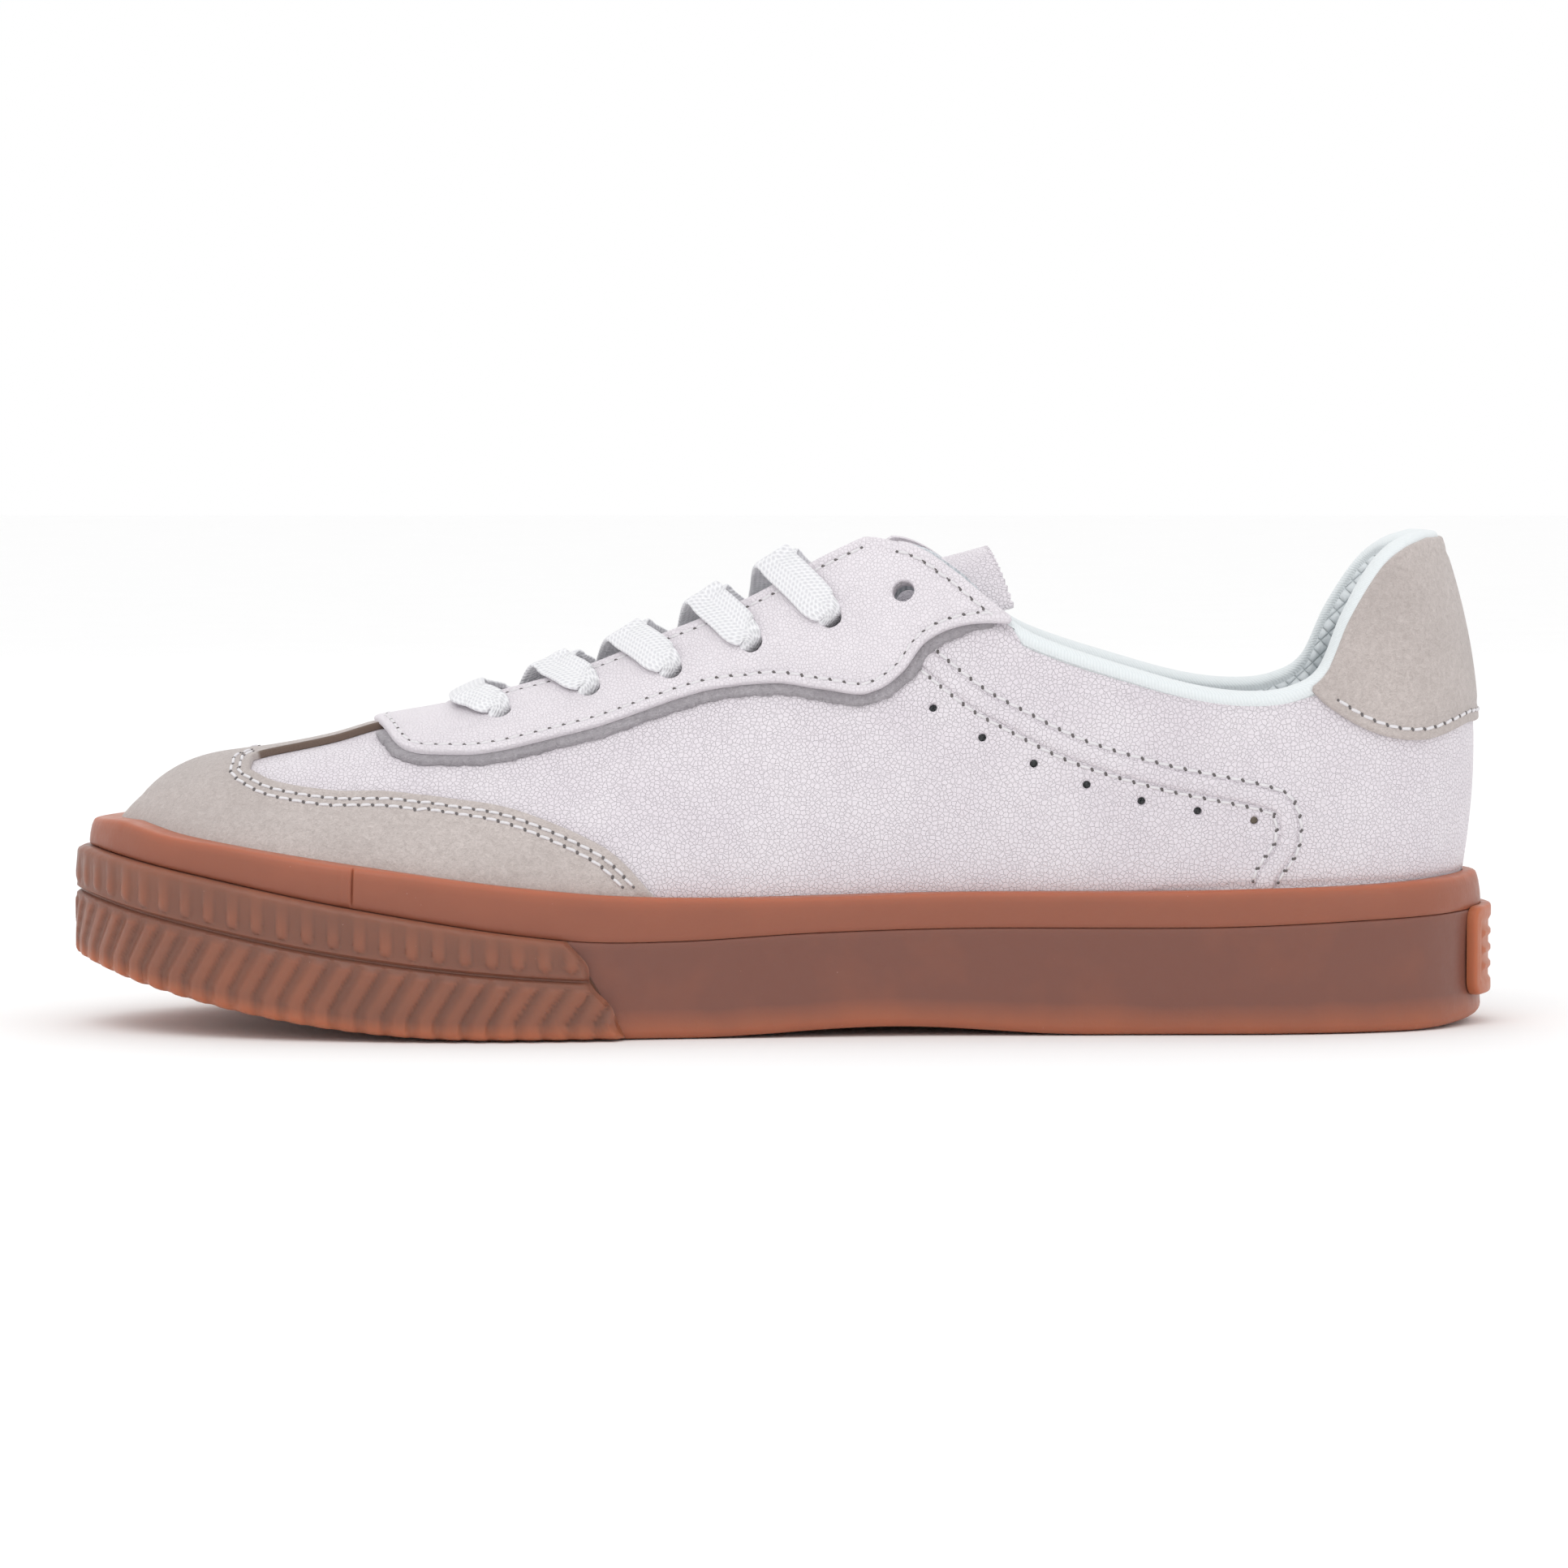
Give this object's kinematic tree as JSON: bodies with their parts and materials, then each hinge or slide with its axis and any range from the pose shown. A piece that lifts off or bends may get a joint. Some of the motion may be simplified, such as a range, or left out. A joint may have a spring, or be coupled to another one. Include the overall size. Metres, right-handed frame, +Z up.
{
  "type": "court shoe",
  "caption": "Low right-foot court shoe with a laced leather upper, hinged tongue and stitched gum rubber cupsole.",
  "frame": {"origin": "centre of the shoe's bounding box, on the ground the sole stands on", "axes": "+X towards the toe, +Y towards the inner (medial) side, +Z up"},
  "size_m": [0.3008, 0.1068, 0.1046],
  "materials": {
    "gum": "semi-matt moulded gum rubber",
    "gum_band": "semi-matt smooth gum rubber strip",
    "gum_bumper": "semi-matt ribbed gum rubber",
    "label_gum": "satin moulded gum rubber",
    "filler_foam": "closed-cell foam",
    "board": "fibre board",
    "insole_foam": "open-cell foam",
    "insole_textile": "brushed white textile",
    "white_leather": "satin fine-grained white leather",
    "eyestay_leather": "satin fine-grained white leather with raw edge",
    "raw_backing": "matt raw split leather",
    "suede": "napped grey-beige suede",
    "stiffener": "matt thermoplastic sheet",
    "collar_foam": "soft foam",
    "lining": "white textile lining",
    "binding": "ribbed white tape",
    "cotton": "flat woven cotton",
    "aglet": "glossy film"
  },
  "bodies": {
    "shoe": {"cupsole": "gum", "foxing_strip": "gum_band", "toe_bumper": "gum_bumper", "heel_label": "label_gum", "midsole_filler": "filler_foam", "insole_board": "board", "insole_foam": "insole_foam", "insole_cover": "insole_textile", "vamp": "white_leather", "rear_quarter_medial": "white_leather", "rear_quarter_lateral": "white_leather", "toe_overlay": "suede", "eyestay": "eyestay_leather", "eyestay_backing_medial": "raw_backing", "eyestay_backing_lateral": "raw_backing", "heel_patch": "suede", "toe_puff": "stiffener", "heel_counter": "stiffener", "collar_foam": "collar_foam", "vamp_lining": "lining", "collar_lining": "lining", "collar_binding": "binding", "lace": "cotton", "lace_tail_medial": "cotton", "lace_tail_lateral": "cotton", "aglet_medial": "aglet", "aglet_lateral": "aglet"},
    "tongue": {"tongue_leather": "white_leather", "tongue_foam": "collar_foam", "tongue_lining": "lining"}
  },
  "joints": [
    {"name": "tongue_hinge", "type": "hinge", "parent": "shoe", "child": "tongue", "pos_m": [0.0715, 0.0015, 0.0565], "axis": [0, 1, 0], "range_deg": [-8, 0], "stiffness_Nm_per_rad": 0.1, "springref_deg": 11.46}
  ]
}
